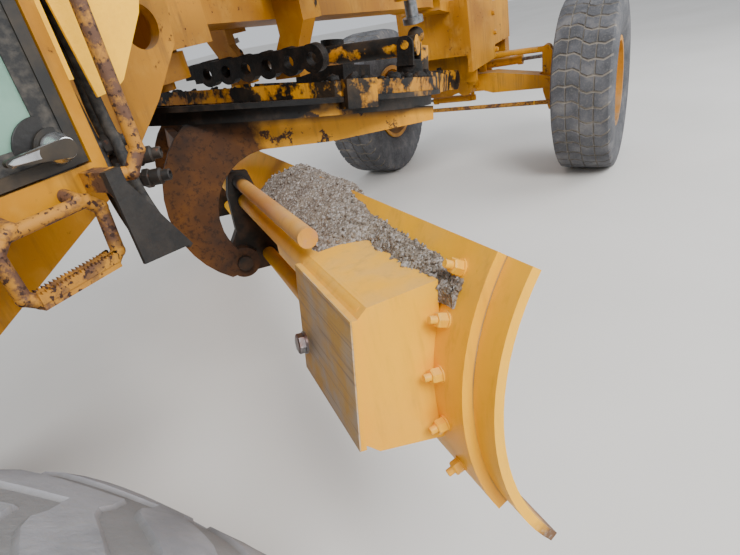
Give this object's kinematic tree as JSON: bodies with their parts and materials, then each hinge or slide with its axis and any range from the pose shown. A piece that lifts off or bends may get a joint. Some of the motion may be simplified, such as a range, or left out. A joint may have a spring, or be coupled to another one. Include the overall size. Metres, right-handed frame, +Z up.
{
  "type": "motor grader",
  "caption": "Articulated motor grader: cab and engine on a tandem rear frame, long front beam, drawbar, circle and curved blade, leaning front wheels.",
  "frame": {"origin": "middle of the machine on the ground: half way between the front of the front tyres and the end of the rear frame, at the height the tyres stand on", "axes": "+X forward, +Y to the left side, +Z up; the articulation hinge stands on the Z axis"},
  "size_m": [8.0479, 3.0962, 3.2],
  "materials": {
    "yellow_paint": "aged mustard yellow paint, chipped and rust specked",
    "fresh_yellow": "brighter yellow paint with scratches",
    "dark_paint": "black paint, dusty",
    "tyre": "worn grey-black tyre rubber, dusty",
    "greasy": "black grease and dirt over yellow paint",
    "steel": "bare ground steel rod",
    "rusty": "rust brown plate, rubbed black",
    "glass": "green tinted safety glass",
    "vinyl": "black vinyl, creased"
  },
  "bodies": {
    "rear": {"rear_frame": "yellow_paint", "engine_hood": "yellow_paint", "engine_block": "dark_paint", "exhaust_stack": "dark_paint", "rear_grille": "yellow_paint", "cab_shell": "yellow_paint", "cab_roof": "yellow_paint", "cab_glass": "glass", "seat": "vinyl", "console": "dark_paint", "steps_and_rails": "yellow_paint", "tandem_drive": "yellow_paint"},
    "door_right": {"door_right": "yellow_paint"},
    "door_left": {"door_left": "yellow_paint"},
    "front": {"front_frame": "yellow_paint", "saddle_arms": "yellow_paint", "link_bar": "greasy", "front_axle": "yellow_paint"},
    "knuckle_right": {"knuckle_right": "yellow_paint"},
    "knuckle_left": {"knuckle_left": "yellow_paint"},
    "spindle_right": {"spindle_right": "yellow_paint"},
    "spindle_left": {"spindle_left": "yellow_paint"},
    "lean_bar": {"lean_bar": "yellow_paint"},
    "tie_rod_end": {"tie_rod_end": "greasy"},
    "tie_rod": {"tie_rod": "yellow_paint"},
    "steering_barrel": {"steering_barrel": "greasy"},
    "steering_rod": {"steering_rod": "steel"},
    "lean_barrel": {"lean_barrel": "greasy"},
    "lean_rod": {"lean_rod": "steel"},
    "turn_barrel_right": {"turn_barrel_right": "yellow_paint"},
    "turn_barrel_left": {"turn_barrel_left": "yellow_paint"},
    "turn_rod_right": {"turn_rod_right": "steel"},
    "turn_rod_left": {"turn_rod_left": "steel"},
    "swivel": {"drawbar_swivel": "greasy"},
    "drawbar": {"drawbar": "yellow_paint", "circle_drive": "greasy"},
    "pinion": {"circle_pinion": "greasy"},
    "circle": {"blade_circle": "rusty"},
    "tilt": {"tilt_brackets": "rusty"},
    "blade": {"moldboard": "fresh_yellow", "cutting_edge": "rusty"},
    "lift_barrel_right": {"lift_barrel_right": "greasy"},
    "lift_barrel_left": {"lift_barrel_left": "greasy"},
    "lift_rod_right": {"lift_rod_right": "steel"},
    "lift_rod_left": {"lift_rod_left": "steel"},
    "shift_head": {"shift_head": "greasy"},
    "shift_barrel": {"shift_barrel": "greasy"},
    "shift_rod": {"shift_rod": "steel"},
    "wheel_rear_1_right": {"tyre_rear_1_right": "tyre", "rim_rear_1_right": "yellow_paint"},
    "wheel_rear_1_left": {"tyre_rear_1_left": "tyre", "rim_rear_1_left": "yellow_paint"},
    "wheel_rear_2_right": {"tyre_rear_2_right": "tyre", "rim_rear_2_right": "yellow_paint"},
    "wheel_rear_2_left": {"tyre_rear_2_left": "tyre", "rim_rear_2_left": "yellow_paint"},
    "wheel_front_right": {"tyre_front_right": "tyre", "rim_front_right": "yellow_paint"},
    "wheel_front_left": {"tyre_front_left": "tyre", "rim_front_left": "yellow_paint"}
  },
  "joints": [
    {"name": "door_right_hinge", "type": "hinge", "parent": "rear", "child": "door_right", "pos_m": [-1.552, -0.6733, 1.5], "axis": [0, 0, -1], "range_deg": [0, 100]},
    {"name": "door_left_hinge", "type": "hinge", "parent": "rear", "child": "door_left", "pos_m": [-1.552, 0.6733, 1.5], "axis": [0, 0, 1], "range_deg": [0, 100]},
    {"name": "wheel_rear_1_right_spin", "type": "hinge", "parent": "rear", "child": "wheel_rear_1_right", "pos_m": [-1.708, -1.016, 0.674], "axis": [0, 1, 0], "continuous": true},
    {"name": "wheel_rear_1_left_spin", "type": "hinge", "parent": "rear", "child": "wheel_rear_1_left", "pos_m": [-1.708, 1.016, 0.674], "axis": [0, 1, 0], "continuous": true},
    {"name": "wheel_rear_2_right_spin", "type": "hinge", "parent": "rear", "child": "wheel_rear_2_right", "pos_m": [-3.232, -1.016, 0.674], "axis": [0, 1, 0], "continuous": true},
    {"name": "wheel_rear_2_left_spin", "type": "hinge", "parent": "rear", "child": "wheel_rear_2_left", "pos_m": [-3.232, 1.016, 0.674], "axis": [0, 1, 0], "continuous": true},
    {"name": "articulation", "type": "hinge", "parent": "rear", "child": "front", "pos_m": [0, 0, 1.8], "axis": [0, 0, 1], "range_deg": [-11, 15]},
    {"name": "lean_right", "type": "hinge", "parent": "front", "child": "knuckle_right", "pos_m": [3.35, -0.66, 0.74], "axis": [1, 0, 0], "range_deg": [-18, 18]},
    {"name": "lean_left", "type": "hinge", "parent": "front", "child": "knuckle_left", "pos_m": [3.35, 0.66, 0.74], "axis": [1, 0, 0], "range_deg": [-18, 18]},
    {"name": "steer_right", "type": "hinge", "parent": "knuckle_right", "child": "spindle_right", "pos_m": [3.35, -0.762, 0.7], "axis": [0, 0, 1], "range_deg": [-35, 35]},
    {"name": "steer_left", "type": "hinge", "parent": "knuckle_left", "child": "spindle_left", "pos_m": [3.35, 0.762, 0.7], "axis": [0, 0, 1], "range_deg": [-35, 35]},
    {"name": "wheel_front_right_spin", "type": "hinge", "parent": "spindle_right", "child": "wheel_front_right", "pos_m": [3.35, -1.016, 0.674], "axis": [0, 1, 0], "continuous": true},
    {"name": "wheel_front_left_spin", "type": "hinge", "parent": "spindle_left", "child": "wheel_front_left", "pos_m": [3.35, 1.016, 0.674], "axis": [0, 1, 0], "continuous": true},
    {"name": "lean_bar_pivot", "type": "hinge", "parent": "knuckle_left", "child": "lean_bar", "pos_m": [3.35, 0.66, 0.99], "axis": [1, 0, 0], "range_deg": [-18, 18]},
    {"name": "tie_rod_turn", "type": "hinge", "parent": "spindle_left", "child": "tie_rod_end", "pos_m": [3.15, 0.762, 0.606], "axis": [0, 0, 1], "range_deg": [-35, 35]},
    {"name": "tie_rod_level", "type": "hinge", "parent": "tie_rod_end", "child": "tie_rod", "pos_m": [3.15, 0.762, 0.606], "axis": [1, 0, 0], "range_deg": [-18, 18]},
    {"name": "steering_barrel_pivot", "type": "hinge", "parent": "front", "child": "steering_barrel", "pos_m": [3.54, 0.08, 0.61], "axis": [0, 0, 1], "range_deg": [-1, 1]},
    {"name": "steering_rod_slide", "type": "slide", "parent": "steering_barrel", "child": "steering_rod", "axis": [0, 1, 0], "range_m": [-0.10934, 0.10934]},
    {"name": "lean_barrel_pivot", "type": "hinge", "parent": "front", "child": "lean_barrel", "pos_m": [3.446, -0.09, 0.905], "axis": [1, 0, 0], "range_deg": [-0.1614, 0.1614]},
    {"name": "lean_rod_slide", "type": "slide", "parent": "lean_barrel", "child": "lean_rod", "axis": [0, -0.9994, 0.0351], "range_m": [-0.05766, 0.05766]},
    {"name": "turn_barrel_right_pivot", "type": "hinge", "parent": "rear", "child": "turn_barrel_right", "pos_m": [-0.48, -0.52, 1.85], "axis": [0, 0, 1], "range_deg": [-5.12, 6.96]},
    {"name": "turn_rod_right_slide", "type": "slide", "parent": "turn_barrel_right", "child": "turn_rod_right", "axis": [0.9948, 0.1015, 0], "range_m": [-0.0902, 0.12282]},
    {"name": "turn_barrel_left_pivot", "type": "hinge", "parent": "rear", "child": "turn_barrel_left", "pos_m": [-0.48, 0.52, 1.85], "axis": [0, 0, 1], "range_deg": [-5.12, 6.96]},
    {"name": "turn_rod_left_slide", "type": "slide", "parent": "turn_barrel_left", "child": "turn_rod_left", "axis": [0.9948, -0.1015, 0], "range_m": [-0.12282, 0.0902]},
    {"name": "drawbar_swing", "type": "hinge", "parent": "front", "child": "swivel", "pos_m": [2.6, 0, 0.955], "axis": [0, 0, 1], "range_deg": [-6.5, 6.5]},
    {"name": "drawbar_lift", "type": "hinge", "parent": "swivel", "child": "drawbar", "pos_m": [2.6, 0, 0.955], "axis": [-0.004, 0.9991, 0.0428], "range_deg": [-16, 0.7]},
    {"name": "circle_turn", "type": "hinge", "parent": "drawbar", "child": "circle", "pos_m": [0.53873, -0.02082, 1.25022], "axis": [-0.1894, 0.0413, -0.981], "range_deg": [-85, 8]},
    {"name": "pinion_turn", "type": "hinge", "parent": "drawbar", "child": "pinion", "pos_m": [1.08568, -0.01545, 1.17541], "axis": [-0.1894, 0.0413, -0.981], "range_deg": [-463.69, 43.69]},
    {"name": "blade_tip", "type": "hinge", "parent": "circle", "child": "tilt", "pos_m": [0.19984, 0.18635, 0.80248], "axis": [0.596, 0.7989, -0.0814], "range_deg": [-5, 30]},
    {"name": "blade_shift", "type": "slide", "parent": "tilt", "child": "blade", "axis": [0.596, 0.7989, -0.0814], "range_m": [-0.6, 0.6]},
    {"name": "lift_right_tilt", "type": "hinge", "parent": "front", "child": "lift_barrel_right", "pos_m": [0.95, -0.58, 1.9], "axis": [1, 0, 0], "range_deg": [-16.95, 16.95]},
    {"name": "lift_right_slide", "type": "slide", "parent": "lift_barrel_right", "child": "lift_rod_right", "axis": [0.107, 0.0008, -0.9943], "range_m": [-0.02058, 0.45954]},
    {"name": "lift_left_tilt", "type": "hinge", "parent": "front", "child": "lift_barrel_left", "pos_m": [0.95, 0.58, 1.9], "axis": [1, 0, 0], "range_deg": [-16.95, 16.95]},
    {"name": "lift_left_slide", "type": "slide", "parent": "lift_barrel_left", "child": "lift_rod_left", "axis": [0.1077, -0.135, -0.985], "range_m": [-0.02046, 0.45665]},
    {"name": "shift_head_turn", "type": "hinge", "parent": "drawbar", "child": "shift_head", "pos_m": [0.85262, -0.60918, 1.41488], "axis": [0.1894, -0.0413, 0.981], "range_deg": [-4.42, 4.42]},
    {"name": "shift_barrel_pivot", "type": "hinge", "parent": "shift_head", "child": "shift_barrel", "pos_m": [0.85262, -0.60918, 1.41488], "axis": [-0.9705, -0.1594, 0.1807], "range_deg": [-29.52, 1.34]},
    {"name": "shift_rod_slide", "type": "slide", "parent": "shift_barrel", "child": "shift_rod", "axis": [-0.1555, 0.9872, 0.0358], "range_m": [-0.20678, 0.20678]}
  ],
  "couplings": [
    {"joint": "lean_right", "follows": "lean_left", "ratio": 1},
    {"joint": "steer_right", "follows": "steer_left", "ratio": 1},
    {"joint": "lean_bar_pivot", "follows": "lean_left", "ratio": -1},
    {"joint": "tie_rod_turn", "follows": "steer_left", "ratio": -1},
    {"joint": "tie_rod_level", "follows": "lean_left", "ratio": -0.8665},
    {"joint": "steering_barrel_pivot", "follows": "steer_left", "ratio": 0.001},
    {"joint": "steering_rod_slide", "follows": "steer_left", "m_per_rad": 0.17817},
    {"joint": "lean_barrel_pivot", "follows": "lean_left", "ratio": 0.00619},
    {"joint": "lean_rod_slide", "follows": "lean_left", "m_per_rad": 0.18194},
    {"joint": "turn_barrel_right_pivot", "follows": "articulation", "ratio": 0.46083},
    {"joint": "turn_rod_right_slide", "follows": "articulation", "m_per_rad": 0.46723},
    {"joint": "turn_barrel_left_pivot", "follows": "articulation", "ratio": 0.46083},
    {"joint": "turn_rod_left_slide", "follows": "articulation", "m_per_rad": -0.46723},
    {"joint": "pinion_turn", "follows": "circle_turn", "ratio": 5.4546},
    {"joint": "lift_right_tilt", "follows": "drawbar_swing", "ratio": -2.6},
    {"joint": "lift_right_slide", "follows": "drawbar_lift", "m_per_rad": -1.6438},
    {"joint": "lift_left_tilt", "follows": "drawbar_swing", "ratio": -2.6},
    {"joint": "lift_left_slide", "follows": "drawbar_lift", "m_per_rad": -1.6335},
    {"joint": "shift_head_turn", "follows": "drawbar_swing", "ratio": -0.67293},
    {"joint": "shift_barrel_pivot", "follows": "drawbar_lift", "ratio": 1.842},
    {"joint": "shift_rod_slide", "follows": "drawbar_swing", "m_per_rad": 1.8183}
  ]
}
